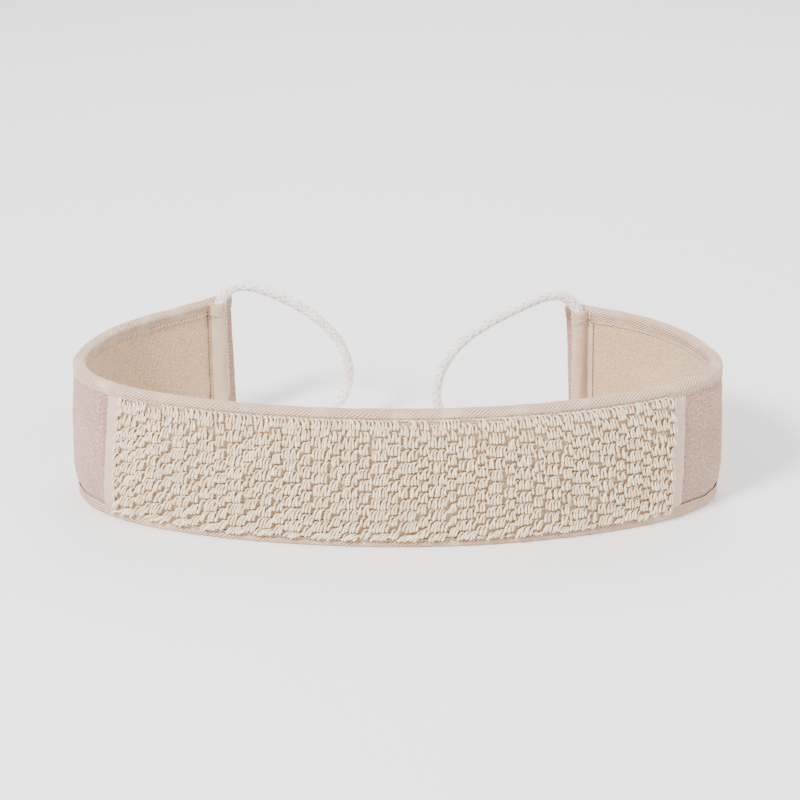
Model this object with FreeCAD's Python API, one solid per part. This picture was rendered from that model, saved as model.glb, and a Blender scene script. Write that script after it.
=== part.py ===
import FreeCAD, Part
import math
import os

# A back-scrubbing strap that stands on its lower edge, curled into an open C.
# Millimetres, +Z up, origin under the middle of the strap on the surface it stands on.
# The front of the C faces -Y and its two free ends point inwards at the back.
# Along the strap, s is the arc length from the front middle, positive to the right.
# Through the strap, d is the distance inwards from the outer side of the edge bindings.

# Plan of the strap: each side is a chain of tangent arcs, given as (length, turn in degrees).
LEFT_RUNS = ((100, 12), (60, 11), (40, 20), (50, 54), (50, 29), (40, 17), (56, -10))
RIGHT_RUNS = ((100, 14), (60, 10), (40, 16), (50, 66), (50, 22), (40, 22), (41, 3))
FRONT = FreeCAD.Vector(0.8, -102.2, 0)
LEFT_END = -sum(length for length, _ in LEFT_RUNS)
RIGHT_END = sum(length for length, _ in RIGHT_RUNS)

# Strap section.
HEIGHT = 90.0
THICK = 6.5
FACE = 1.0
PILE = 0.7
TAPE = 0.7
BINDING_LEG = 8.0
CORE_SHORT = 1.5
FOLD_AT = 225.0
FOLD_GAP = 3.0

# Loop pad on the outer front.
PAD_LEFT, PAD_RIGHT = -190.0, 184.0
PAD_TAPE_WIDE = 10.5
PAD_TAPE_THICK = 0.8
LOOP_HIGH = 3.0
LOOP_OVERHANG = 1.0

# Seams: a thread is a strip that stands a little proud of the tape it holds.
THREAD_WIDE, THREAD_HIGH = 0.5, 0.3
SEAM_FROM_EDGE = 5.5

# Rope tunnels on the inner face, one near each free end.
TUNNEL_WIDE = 13.5
TUNNEL_INNER = 3.6
TUNNEL_DEPTH = THICK + 3.6
TUNNEL_BOTTOM, TUNNEL_CAP = 18.0, 81.0
STRIP_LEFT, STRIP_RIGHT = 8.0, 4.0
TUNNEL_CLEARANCE = 0.5
TUNNEL_SEAM_START = 20.0

# Rope loops. A route is (reach from the tunnel's axis, sideways, height) in the loop's own plane.
ROPE = 6.0
WHIPPING = 0.4
WHIPPING_BOTTOM, WHIPPING_TOP = 44.0, 56.0
ROPE_TOP, ROPE_BOTTOM = 84.0, TUNNEL_BOTTOM
LOOP_ANGLE = {"left": -2.0, "right": -162.0}
LEFT_ROUTE = (
    (0, 0, ROPE_TOP), (0, 0, 91.5), (4.2, 0, 97.1), (13.1, 0, 100), (26, 0, 97.3), (42.5, -1, 90),
    (59, -1.5, 81.3), (73, -1, 71), (82.5, 0, 58.5), (87.3, 1.5, 44), (86, 2.5, 29), (78, 3.5, 13.8),
    (64.5, 5, 5.4), (47.5, 6, 3.4), (30, 5, 3.4), (14.5, 2, 3.4), (4.2, 0, 4.7), (0, 0, 10.5),
    (0, 0, ROPE_BOTTOM))
RIGHT_ROUTE = (
    (0, 0, ROPE_TOP), (0, 0, 92.5), (4.6, 0, 99.3), (13.2, 0, 104.2), (28, 0, 104.3), (46, 1, 98.8),
    (63, 1.5, 91.8), (79, 1, 82), (92, 0, 68), (99, -1.5, 52), (100, -2.5, 36), (94.5, -3.5, 21.5),
    (83, -4.5, 10), (68, -6, 4.4), (50, -7, 3.4), (32, -6, 3.4), (16, -2, 3.4), (4.4, 0, 4.7),
    (0, 0, 10.5), (0, 0, ROPE_BOTTOM))
# Each bend takes this share of its shorter neighbouring run.
BEND_SHARE = 0.45


def along(s, d):
    """The plan point at arc length s and depth d, and the strap's direction there."""
    side = -1 if s < 0 else 1
    x = y = heading = 0.0
    left = abs(s)
    for length, turn in LEFT_RUNS if s < 0 else RIGHT_RUNS:
        step = min(left, length)
        radius = length / math.radians(turn)
        swing = step / radius
        x += radius * (math.sin(heading + swing) - math.sin(heading))
        y += radius * (math.cos(heading) - math.cos(heading + swing))
        heading += swing
        left -= step
        if left <= 0:
            break
    inward = FreeCAD.Vector(-side * math.sin(heading), math.cos(heading), 0)
    onward = FreeCAD.Vector(math.cos(heading), side * math.sin(heading), 0)
    return FRONT + FreeCAD.Vector(side * x, y, 0) + inward * d, onward, inward


def arcs(s0, s1, d):
    """Arc edges of the plan line at depth d, from s0 to s1."""
    joints = [0.0]
    for side, runs in ((-1, LEFT_RUNS), (1, RIGHT_RUNS)):
        total = 0.0
        for length, _ in runs:
            total += length
            joints.append(side * total)
    stops = [s0] + sorted(j for j in joints if s0 < j < s1) + [s1]
    return [Part.Arc(along(a, d)[0], along((a + b) / 2, d)[0], along(b, d)[0]).toShape()
            for a, b in zip(stops, stops[1:])]


def slab(s0, s1, d0, d1, z0, z1):
    """A curved plate that follows the strap."""
    closing = [Part.makeLine(along(s, d0)[0], along(s, d1)[0]) for s in (s0, s1)]
    edges = Part.sortEdges(arcs(s0, s1, d0) + arcs(s0, s1, d1) + closing)[0]
    plate = Part.Face(Part.Wire(edges)).extrude(FreeCAD.Vector(0, 0, z1 - z0))
    plate.translate(FreeCAD.Vector(0, 0, z0))
    return plate


def joined(*solids):
    """One solid made of touching solids."""
    return solids[0].fuse(list(solids[1:])).removeSplitter()


def group(*solids):
    """Separate solids that share one node."""
    return Part.makeCompound(list(solids))


def binding(s0, s1, top):
    """A folded tape over the upper or the lower edge."""
    edge, leg = (HEIGHT, -BINDING_LEG) if top else (0.0, BINDING_LEG)
    low, high = sorted((edge, edge + leg))
    web_low, web_high = (HEIGHT - TAPE, HEIGHT) if top else (0.0, TAPE)
    return joined(slab(s0, s1, 0, TAPE, low, high),
                  slab(s0, s1, THICK - TAPE, THICK, low, high),
                  slab(s0, s1, 0, THICK, web_low, web_high))


def seam(s0, s1, inner0, inner1, top):
    """The thread on both sides of a binding; the inner one stops at the rope tunnel."""
    middle = HEIGHT - SEAM_FROM_EDGE if top else SEAM_FROM_EDGE
    low, high = middle - THREAD_WIDE / 2, middle + THREAD_WIDE / 2
    return group(slab(s0, s1, -THREAD_HIGH, 0, low, high),
                 slab(inner0, inner1, THICK, THICK + THREAD_HIGH, low, high))


def tunnel(s, flange_depth, inner, low, high):
    """A tape that arches over the rope, with a flange along each side."""
    foot, root = TUNNEL_WIDE / 2, inner + TAPE / 3
    left = slab(s - foot, s - root, flange_depth, flange_depth + TAPE, low, high)
    right = slab(s + root, s + foot, flange_depth, flange_depth + TAPE, low, high)
    middle, onward, inward = along(s, TUNNEL_DEPTH)
    outer = inner + TAPE
    drop = inward * (flange_depth + TAPE / 2 - TUNNEL_DEPTH)

    def arch(radius):
        a, b = middle - onward * radius, middle + onward * radius
        return [Part.makeLine(a + drop, a),
                Part.Arc(a, middle + inward * radius, b).toShape(),
                Part.makeLine(b, b + drop)]

    feet = [Part.makeLine(middle + drop + onward * side * inner, middle + drop + onward * side * outer)
            for side in (-1, 1)]
    shell = Part.Face(Part.Wire(Part.sortEdges(arch(inner) + arch(outer) + feet)[0]))
    dome = shell.extrude(FreeCAD.Vector(0, 0, high - low))
    dome.translate(FreeCAD.Vector(0, 0, low))
    return joined(left, right, dome)


def rope_path(points):
    """Straight runs joined by tangent arcs, each as large as its two runs allow."""
    edges, radii, start = [], [], points[0]
    for before, corner, after in zip(points, points[1:], points[2:]):
        back, ahead = before - corner, after - corner
        run = BEND_SHARE * min(back.Length, ahead.Length)
        half_turn = (math.pi - back.getAngle(ahead)) / 2
        radius = run / math.tan(half_turn)
        back.normalize()
        ahead.normalize()
        enter, leave = corner + back * run, corner + ahead * run
        bisector = back + ahead
        bisector.normalize()
        middle = corner + bisector * (radius / math.cos(half_turn) - radius)
        edges += [Part.LineSegment(start, enter).toShape(), Part.Arc(enter, middle, leave).toShape()]
        radii.append(radius)
        start = leave
    edges.append(Part.LineSegment(start, points[-1]).toShape())
    return Part.Wire(edges), radii


def rope_loop(name, s, route):
    """The free loop of rope, from the tunnel's upper mouth round to its lower mouth."""
    axis = along(s, TUNNEL_DEPTH)[0]
    angle = math.radians(LOOP_ANGLE[name])
    reach = FreeCAD.Vector(math.cos(angle), math.sin(angle), 0)
    aside = FreeCAD.Vector(-math.sin(angle), math.cos(angle), 0)
    points = [axis + reach * u + aside * w + FreeCAD.Vector(0, 0, z) for u, w, z in route]
    path, radii = rope_path(points)
    ring = Part.Wire(Part.makeCircle(ROPE / 2, points[0], FreeCAD.Vector(0, 0, 1)))
    tube = path.makePipeShell([ring], True, False)
    section = math.pi * (ROPE / 2) ** 2
    print(name, "rope length", round(path.Length, 1), "valid", tube.isValid(),
          "volume share", round(tube.Volume / section / path.Length, 4),
          "radii", [round(r, 1) for r in radii])
    return tube


def band_section(name, s0, s1, free_end, bare, inner):
    """The layers of one stretch of the strap. bare lists where the outer pile isn't under the pad."""
    core0 = s0 + FACE if free_end == s0 else s0
    core1 = s1 - FACE if free_end == s1 else s1
    leg, tall = BINDING_LEG, HEIGHT - BINDING_LEG
    outer = [slab(s0, s1, TAPE, TAPE + FACE, TAPE, HEIGHT - TAPE)]
    outer += [slab(a, b, TAPE - PILE, TAPE, leg, tall) for a, b in bare]
    if free_end == s0:
        outer.append(slab(s0, core0, TAPE, THICK - TAPE, TAPE, HEIGHT - TAPE))
    if free_end == s1:
        outer.append(slab(core1, s1, TAPE, THICK - TAPE, TAPE, HEIGHT - TAPE))
    lining = joined(slab(core0, core1, THICK - TAPE - FACE, THICK - TAPE, TAPE, HEIGHT - TAPE),
                    slab(core0, core1, THICK - TAPE, THICK - TAPE + PILE, leg, tall))
    return {
        "outer_face_" + name: joined(*outer),
        "core_" + name: slab(core0, core1, TAPE + FACE, THICK - TAPE - FACE, CORE_SHORT, HEIGHT - CORE_SHORT),
        "inner_face_" + name: lining,
        "top_binding_" + name: binding(s0, s1, True),
        "bottom_binding_" + name: binding(s0, s1, False),
        "top_seam_" + name: seam(s0, s1, *inner, True),
        "bottom_seam_" + name: seam(s0, s1, *inner, False),
    }


def pad():
    """The loop pad: a woven backing, the pile of loops and a tape over each end."""
    low, high = BINDING_LEG, HEIGHT - BINDING_LEG
    left, right = PAD_LEFT + PAD_TAPE_WIDE, PAD_RIGHT - PAD_TAPE_WIDE
    nodes = {
        "pad_backing": slab(PAD_LEFT, PAD_RIGHT, 0, TAPE, low, high),
        "loop_pile": slab(left, right, -LOOP_HIGH, 0, low - LOOP_OVERHANG, high + LOOP_OVERHANG),
    }
    for side, s0, s1 in (("left", PAD_LEFT, left), ("right", right, PAD_RIGHT)):
        nodes["pad_tape_" + side] = slab(s0, s1, -PAD_TAPE_THICK, 0, low, high)
        lines = [(s0 + s1) / 2 + shift for shift in (-PAD_TAPE_WIDE / 3, PAD_TAPE_WIDE / 3)]
        nodes["pad_tape_seam_" + side] = group(*[
            slab(s - THREAD_WIDE / 2, s + THREAD_WIDE / 2, -PAD_TAPE_THICK - THREAD_HIGH, -PAD_TAPE_THICK,
                 low, high) for s in lines])
    return nodes


def handle(name, s, route):
    """One rope tunnel with its seams, and the rope that runs through it."""
    upright = FreeCAD.Vector(0, 0, 1)
    axis = along(s, TUNNEL_DEPTH)[0]
    flange = (TUNNEL_WIDE / 2 + TUNNEL_INNER + TAPE) / 2
    strip = (-THREAD_WIDE / 2, THREAD_WIDE / 2)
    stitched = [slab(s + side * flange + strip[0], s + side * flange + strip[1], THICK + TAPE,
                     THICK + TAPE + THREAD_HIGH, TUNNEL_SEAM_START, TUNNEL_CAP) for side in (-1, 1)]
    hidden = Part.makeCylinder(ROPE / 2, ROPE_TOP - ROPE_BOTTOM,
                               axis + upright * ROPE_BOTTOM, upright)
    wound = Part.makeCylinder(ROPE / 2 + WHIPPING, WHIPPING_TOP - WHIPPING_BOTTOM,
                              axis + upright * WHIPPING_BOTTOM, upright)
    return {
        "rope_tunnel_" + name: tunnel(s, THICK, TUNNEL_INNER, TUNNEL_BOTTOM, HEIGHT),
        "tunnel_cap_" + name: tunnel(s, THICK + TAPE, TUNNEL_INNER + TAPE, TUNNEL_CAP, HEIGHT),
        "tunnel_seam_" + name: group(*stitched),
        "rope_hidden_" + name: hidden,
        "rope_whipping_" + name: wound.cut(hidden),
        "rope_loop_" + name: rope_loop(name, s, route),
    }


left_tunnel = LEFT_END + STRIP_LEFT + TUNNEL_WIDE / 2
right_tunnel = RIGHT_END - STRIP_RIGHT - TUNNEL_WIDE / 2
fold = FOLD_AT - FOLD_GAP / 2
wing = FOLD_AT + FOLD_GAP / 2
clear = TUNNEL_WIDE / 2 + TUNNEL_CLEARANCE

parts = {}
beside_pad = ((-fold, PAD_LEFT), (PAD_RIGHT, fold))
left_wing, right_wing = (LEFT_END, -wing), (wing, RIGHT_END)
parts.update(band_section("centre", -fold, fold, None, beside_pad, (-fold, fold)))
parts.update(band_section("left", *left_wing, LEFT_END, (left_wing,), (left_tunnel + clear, -wing)))
parts.update(band_section("right", *right_wing, RIGHT_END, (right_wing,), (wing, right_tunnel - clear)))
parts.update(pad())
parts.update(handle("left", left_tunnel, LEFT_ROUTE))
parts.update(handle("right", right_tunnel, RIGHT_ROUTE))

os.makedirs("parts", exist_ok=True)
box = FreeCAD.BoundBox()
for name, shape in parts.items():
    shape.exportStep(os.path.join("parts", name + ".step"))
    if not name.startswith("rope"):
        box.add(shape.BoundBox)
    print(name, len(shape.Solids), "solids", shape.isValid(), round(shape.Volume, 1))
for name, s in (("left fold", -FOLD_AT), ("right fold", FOLD_AT)):
    print(name, along(s, THICK / 2)[0])
for name, s in (("left tunnel", left_tunnel), ("right tunnel", right_tunnel)):
    print(name, along(s, TUNNEL_DEPTH))
print("strap box", box)
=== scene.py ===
import itertools
from math import cos, pi, radians, sin

import bpy
import numpy as np
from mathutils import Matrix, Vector


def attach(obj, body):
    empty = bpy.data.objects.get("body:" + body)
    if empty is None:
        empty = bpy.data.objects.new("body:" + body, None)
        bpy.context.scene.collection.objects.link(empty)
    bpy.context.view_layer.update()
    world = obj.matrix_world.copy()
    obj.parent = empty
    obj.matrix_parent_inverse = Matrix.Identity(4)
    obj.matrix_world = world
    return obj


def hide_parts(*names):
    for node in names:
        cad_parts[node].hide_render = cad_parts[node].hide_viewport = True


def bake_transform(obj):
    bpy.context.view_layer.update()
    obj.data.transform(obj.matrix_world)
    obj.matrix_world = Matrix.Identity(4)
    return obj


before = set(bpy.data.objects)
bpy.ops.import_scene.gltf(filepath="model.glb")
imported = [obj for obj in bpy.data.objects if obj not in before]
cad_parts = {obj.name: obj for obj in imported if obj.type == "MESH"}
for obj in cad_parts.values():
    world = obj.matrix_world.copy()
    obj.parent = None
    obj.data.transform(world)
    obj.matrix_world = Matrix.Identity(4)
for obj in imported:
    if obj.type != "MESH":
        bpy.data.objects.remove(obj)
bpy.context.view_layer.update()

# Lengths in this file are millimetres until a mesh or curve is made from them.
MM = 0.001
SIDES = ("left", "right")
SIGN = {"left": -1, "right": 1}

# Plan of the strap, as in the CAD source: tangent arcs given as (length, turn in degrees).
LEFT_RUNS = ((100, 12), (60, 11), (40, 20), (50, 54), (50, 29), (40, 17), (56, -10))
RIGHT_RUNS = ((100, 14), (60, 10), (40, 16), (50, 66), (50, 22), (40, 22), (41, 3))
FRONT = (0.8, -102.2)
END = {"left": -396.0, "right": 381.0}
HEIGHT, THICK, TAPE = 90.0, 6.5, 0.7
# How far a binding's legs reach in, at least and on the inner side, and how far from their edges it is sewn.
LEG, INNER_LEG, STITCH_IN = 8.0, 9.3, 1.5
# A twill's ribs.
RIB_PITCH, RIB_LEAN, RIB_HIGH = 1.45, radians(33), 0.3
PAD_LEFT, PAD_RIGHT, PAD_TAPE = -189.5, 183.2, 9.3
TUNNEL_AT = {"left": -381.25, "right": 370.25}
TUNNEL_WIDE, TUNNEL_INNER, TUNNEL_DEPTH = 13.5, 3.6, 10.1
TUNNEL_BOTTOM, TUNNEL_CAP, FLANGE_SEAM = 18.0, 81.0, 5.3
ROPE, ROPE_TOP, ROPE_BOTTOM = 6.0, 84.0, TUNNEL_BOTTOM
LOOP_ANGLE = {"left": -2.0, "right": -162.0}
# Each rope's way from its tunnel's upper mouth to its lower one, as (away from the tunnel, aside, up).
ROUTE = {
    "left": (
        (0, 0, ROPE_TOP), (0.6, 0, 90), (5.5, 0, 97.5), (13.5, 0, 102), (26, 0, 100.8), (42.5, -1, 94),
        (59, -1.5, 84.8), (73, -1, 73), (82.5, 0, 59.5), (87.5, 1.5, 44), (87, 2.5, 29), (80, 3.5, 13.8),
        (66, 5, 5.2), (48, 6, 3.6), (30, 5, 3.6), (14.5, 2, 3.6), (4.2, 0, 4.7), (0, 0, 10.5),
        (0, 0, ROPE_BOTTOM)),
    "right": (
        (0, 0, ROPE_TOP), (1.2, 0, 90.5), (7, 0, 97.2), (14, 0, 102.6), (28, 0, 101.8), (46, 1, 95.8),
        (63, 1.5, 89.4), (79, 1, 80.6), (92, 0, 68), (99, -1.5, 52), (100, -2.5, 36), (94.5, -3.5, 21.5),
        (83, -4.5, 10), (68, -6, 4.6), (50, -7, 3.6), (32, -6, 3.6), (15, -1.5, 3.6), (3.4, 0.5, 4.7),
        (-0.5, 0.5, 10.5), (-0.5, 0.5, ROPE_BOTTOM)),
}


# -------- camera

def add_object(name, data):
    """An object in the scene."""
    made = bpy.data.objects.new(name, data)
    bpy.context.scene.collection.objects.link(made)
    return made


def aim(made, place, target):
    """Puts a camera or lamp at place and turns it to target."""
    made.location = place
    made.rotation_euler = (target - Vector(place)).to_track_quat("-Z", "Y").to_euler()


def make_camera():
    """The photograph's view."""
    target = Vector((0.0008, 0.0228, 0.045))
    elevation, distance = radians(23.0), 1.5
    data = bpy.data.cameras.new("camera")
    data.sensor_width, data.lens = 36.0, 103.14
    camera = add_object("camera", data)
    aim(camera, target + distance * Vector((0, -cos(elevation), sin(elevation))), target)
    bpy.context.scene.camera = camera


make_camera()


# -------- strap geometry

def ease(value, low, high):
    """A smooth step from 0 at low to 1 at high."""
    t = np.clip((value - low) / (high - low), 0, 1)
    return t * t * (3 - 2 * t)


def spread(*values):
    """Arrays of one shape from numbers and arrays."""
    return np.broadcast_arrays(*(np.asarray(value, float) for value in values))


def plan(s, d):
    """Plan x, y and the direction pairs (onward, inward) at arc length s and depth d."""
    s, d = spread(s, d)
    side = np.where(s < 0, -1.0, 1.0)
    x = y = heading = np.zeros(s.shape)
    for sign, runs in ((-1.0, LEFT_RUNS), (1.0, RIGHT_RUNS)):
        start = at_x = at_y = at_heading = 0.0
        for number, (length, turn) in enumerate(runs):
            radius = length / radians(turn)
            last = number == len(runs) - 1
            step = np.clip(np.abs(s) - start, 0, None if last else length)
            here = (side == sign) & (np.abs(s) >= start)
            swing = at_heading + step / radius
            x = np.where(here, at_x + radius * (np.sin(swing) - sin(at_heading)), x)
            y = np.where(here, at_y + radius * (cos(at_heading) - np.cos(swing)), y)
            heading = np.where(here, swing, heading)
            end = at_heading + length / radius
            at_x += radius * (sin(end) - sin(at_heading))
            at_y += radius * (cos(at_heading) - cos(end))
            at_heading = end
            start += length
    onward = np.stack([np.cos(heading), side * np.sin(heading)], -1)
    inward = np.stack([-side * np.sin(heading), np.cos(heading)], -1)
    base = np.stack([FRONT[0] + side * x, FRONT[1] + y], -1)
    return base + inward * d[..., None], onward, inward


# How the bends stand out of the plan: middle, width, and the even, tilted, curved and low parts.
BENDS = ((-235, 55, (2.5, -1.75, -1.9, -2.8)), (225, 50, (0.6, -1.7, -1.5, -2.4)))


def bow(s, z):
    """How far the strap stands out of its plan at its bends, and a little at its front."""
    up = z / (HEIGHT / 2) - 1
    foot = 1 - ease(z, 0, 26)
    bends = sum((even + tilt * up + curve * up ** 2 + low * foot) * np.exp(-((s - at) / wide) ** 2)
                for at, wide, (even, tilt, curve, low) in BENDS)
    belly = np.sin(pi * np.clip(z / HEIGHT, 0, 1))
    return bends + 0.6 * belly * np.exp(-(s / 150) ** 4)


def lean(s, z):
    """Shift along the strap near its free ends, whose edges are not quite square."""
    down = 1 - z / 88
    left = -3.2 * down * ease(-s, 387, 396)
    right = -1.9 * down * ease(s, 335, 367) - 3.1 * down * ease(s, 377, 381) + 1.5 * ease(s, 377, 381)
    return left + right


def wall(s, d, z):
    """Points of the strap in space."""
    s, d, z = spread(s, d, z)
    return np.concatenate([plan(s + lean(s, z), d - bow(s, z))[0], z[..., None]], -1)


def flat_wall(s, d, z):
    """The same without the belly or the lean."""
    s, d, z = spread(s, d, z)
    return np.concatenate([plan(s, d)[0], z[..., None]], -1)


def tunnel_line(side, z):
    """The rope's middle in its tunnel: halfway between the leaning tunnel and the loop's upright axis."""
    place = (TUNNEL_AT[side], TUNNEL_DEPTH, z)
    return (wall(*place) + flat_wall(*place)) / 2


def waves(seed, scale, *axes):
    """Smooth random waves from -1 to 1 or so, about scale long, over one or more coordinates."""
    rng = np.random.default_rng(seed)
    total = 0.0
    for _ in range(7):
        if len(axes) == 1:
            direction = np.array([1.0])
        else:
            angle = rng.uniform(0, 2 * pi)
            direction = np.array([cos(angle), sin(angle)])
        turn = 2 * pi / (scale * rng.uniform(0.6, 1.7))
        phase = rng.uniform(0, 2 * pi)
        total = total + np.sin(sum(a * k for a, k in zip(axes, direction * turn)) + phase)
    return total / 3.2


def rib(u, v):
    """Height of a twill's slanted ribs, from 0 to 1, where its cloth coordinates are u and v."""
    slant = v * cos(RIB_LEAN) - u * sin(RIB_LEAN)
    return 0.5 + 0.5 * np.sin(slant * 2 * pi / RIB_PITCH)


# -------- meshes

def make_piece(name, points, faces, material, uv=None):
    """A smooth mesh object; points in millimetres, uv per face corner."""
    mesh = bpy.data.meshes.new(name)
    mesh.from_pydata((np.asarray(points, float) * MM).tolist(), [], faces)
    mesh.polygons.foreach_set("use_smooth", np.ones(len(mesh.polygons), bool))
    if uv is not None:
        layer = mesh.uv_layers.new(name="cloth")
        layer.data.foreach_set("uv", np.asarray(uv, np.float32).ravel())
    mesh.materials.append(material)
    return add_object(name, mesh)


def grid_faces(rows, columns, around=False):
    """Corner numbers of a grid's quads; around closes it across the columns."""
    cells = columns if around else columns - 1
    i, j = np.meshgrid(np.arange(rows - 1), np.arange(cells), indexing="ij")
    here, beside = i * columns + j, i * columns + (j + 1) % columns
    return np.stack([here, here + columns, beside + columns, beside], -1).reshape(-1, 4)


def end_rows(rows, columns, base=0):
    """Point numbers of a grid's first row, and of its last row backwards."""
    last = base + (rows - 1) * columns
    return [list(range(base, base + columns)), list(range(last, last + columns))[::-1]]


def quad_corners(u, v):
    """Each quad's corners in cloth coordinates, in metres; the grid is the last two axes of u and v."""
    uv = np.stack([u, v], -1) * MM
    return np.stack([uv[..., :-1, :-1, :], uv[..., 1:, :-1, :], uv[..., 1:, 1:, :], uv[..., :-1, 1:, :]], -2)


def grid_piece(name, points, u, v, material, closed=False, flip=False):
    """A grid of points (rows along the strap) as a sheet or closed tube, with its cloth's u and v."""
    rows, columns = points.shape[:2]
    faces = grid_faces(rows, columns, closed)
    shape = (rows, columns + 1 if closed else columns)
    corners = quad_corners(*(np.broadcast_to(np.asarray(k, float), shape) for k in (u, v)))
    if flip:
        faces, corners = faces[:, ::-1], corners[:, :, ::-1]
    faces = faces.tolist()
    corners = corners.reshape(-1, 2)
    if closed:
        faces += [row[::-1] if flip else row for row in end_rows(rows, columns)]
        corners = np.concatenate([corners, np.zeros((2 * columns, 2))])
    piece = make_piece(name, points.reshape(-1, 3), faces, material, corners)
    if closed:
        for face in piece.data.polygons[-2:]:
            face.use_smooth = False
    return piece


def tubes(name, paths, radius, sides, material, flat=1.0, up=(0.0, 0.0, 1.0), lobe=0.0, twist=0.0):
    """Many tubes in one mesh: paths is (count, points, 3). lobe and twist make two plies wound together."""
    paths = np.asarray(paths, float)
    count, steps = paths.shape[:2]
    number = np.arange(count)
    radius = np.broadcast_to(np.asarray(radius, float), (count, steps))[:, :, None]
    ahead = np.gradient(paths, axis=1)
    ahead /= np.linalg.norm(ahead, axis=-1, keepdims=True)
    across = np.cross(ahead, np.broadcast_to(up, paths.shape))
    across /= np.maximum(np.linalg.norm(across, axis=-1, keepdims=True), 1e-9)
    over = np.cross(across, ahead)
    turn = np.arange(sides) * 2 * pi / sides
    ring = across[:, :, None] * np.cos(turn)[:, None] + over[:, :, None] * (flat * np.sin(turn))[:, None]
    run = np.cumsum(np.linalg.norm(np.diff(paths, axis=1), axis=-1), 1)
    run = np.concatenate([np.zeros((count, 1)), run], 1)[:, :, None]
    ply = 1 + lobe * np.cos(2 * (turn - twist * run - number[:, None, None]))
    points = paths[:, :, None] + ring * (radius * ply)[..., None]
    faces = grid_faces(steps, sides, True) + (number * steps * sides)[:, None, None]
    v = np.arange(sides + 1) / sides * 2 * pi * radius
    u = run + (number * 7.3)[:, None, None] + 0 * v
    corners = quad_corners(u, v).reshape(-1, 4, 2)[:, ::-1].reshape(-1, 2)
    corners = np.concatenate([corners, np.zeros((2 * count * sides, 2))])
    ends = [row for base in number * steps * sides for row in end_rows(steps, sides, base)]
    faces = faces.reshape(-1, 4)[:, ::-1].tolist() + ends
    return make_piece(name, points.reshape(-1, 3), faces, material, corners)


# -------- materials

class Nodes:
    """A material's node tree, built a line at a time."""

    def __init__(self, name):
        self.material = bpy.data.materials.new(name)
        self.material.use_nodes = True
        self.tree = self.material.node_tree
        self.shader = self.tree.nodes["Principled BSDF"]

    def node(self, kind, *values, **settings):
        """A node with values for its first inputs."""
        made = self.tree.nodes.new("ShaderNode" + kind)
        for key, value in settings.items():
            setattr(made, key, value)
        for socket, value in zip(made.inputs, values):
            self.put(socket, value)
        return made

    def fill(self, made, values):
        """Gives a node's inputs by name."""
        for key, value in values.items():
            self.put(made.inputs[key], value)

    def put(self, socket, value):
        if isinstance(value, bpy.types.NodeSocket):
            self.tree.links.new(value, socket)
        else:
            socket.default_value = value

    def put_colour(self, socket, value):
        self.put(socket, value if isinstance(value, bpy.types.NodeSocket) else (*value, 1.0))

    def math(self, kind, a, b=0.0, c=0.0):
        return self.node("Math", a, b, c, operation=kind).outputs[0]

    def wave(self, value, length):
        """A sine of value, length metres from crest to crest."""
        return self.math("SINE", self.math("MULTIPLY", value, 2 * pi / length))

    def woven(self, along, across):
        """Two waves crossed, from 0 to 1."""
        return self.math("MULTIPLY_ADD", self.math("MULTIPLY", along, across), 0.5, 0.5)

    def cloth(self):
        """The cloth's own coordinates, in metres along and across it."""
        uv = self.node("UVMap", uv_map="cloth").outputs[0]
        parts = self.node("SeparateXYZ", uv)
        return uv, parts.outputs[0], parts.outputs[1]

    def place(self):
        return self.node("TexCoord").outputs["Object"]

    def noise(self, vector, size, detail=2.0, rough=0.5, stretch=(1, 1, 1)):
        """Noise from 0 to 1 with features about size metres across."""
        scaled = self.node("VectorMath", vector, [k / size for k in stretch], operation="MULTIPLY")
        made = self.node("TexNoise", scaled.outputs[0], noise_dimensions="3D")
        self.fill(made, {"Scale": 1.0, "Detail": detail, "Roughness": rough})
        return made.outputs["Fac"]

    def ramp(self, value, low, high, to_low=0.0, to_high=1.0):
        given = (value, low, high, to_low, to_high)
        return self.node("MapRange", *given, interpolation_type="SMOOTHSTEP").outputs[0]

    def mix(self, share, a, b):
        made = self.node("Mix", share, data_type="RGBA", blend_type="MIX")
        self.put_colour(made.inputs[6], a)
        self.put_colour(made.inputs[7], b)
        return made.outputs[2]

    def bump(self, height, depth, after=None):
        """A bump whose height runs over depth metres."""
        made = self.node("Bump")
        self.fill(made, {"Strength": 1.0, "Distance": depth, "Height": height})
        if after is not None:
            self.put(made.inputs["Normal"], after)
        return made.outputs[0]

    def finish(self, colour, roughness, normal=None, sheen=0.0, sheen_colour=(1, 1, 1), soft=0.0):
        """Joins everything to the shader."""
        inputs = self.shader.inputs
        self.put_colour(inputs["Base Color"], colour)
        self.put_colour(inputs["Sheen Tint"], sheen_colour)
        given = {"Roughness": roughness, "Specular IOR Level": 0.25,
                 "Sheen Weight": sheen, "Sheen Roughness": 0.5}
        if normal is not None:
            given["Normal"] = normal
        if soft:
            given.update({"Subsurface Weight": soft, "Subsurface Scale": 1.0,
                          "Subsurface Radius": (0.0012, 0.001, 0.0008)})
        self.fill(self.shader, given)
        return self.material


def rgb(*levels):
    """Linear colour of an sRGB colour given from 0 to 255."""
    shares = (level / 255 for level in levels)
    return tuple(c / 12.92 if c <= 0.04045 else ((c + 0.055) / 1.055) ** 2.4 for c in shares)


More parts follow.
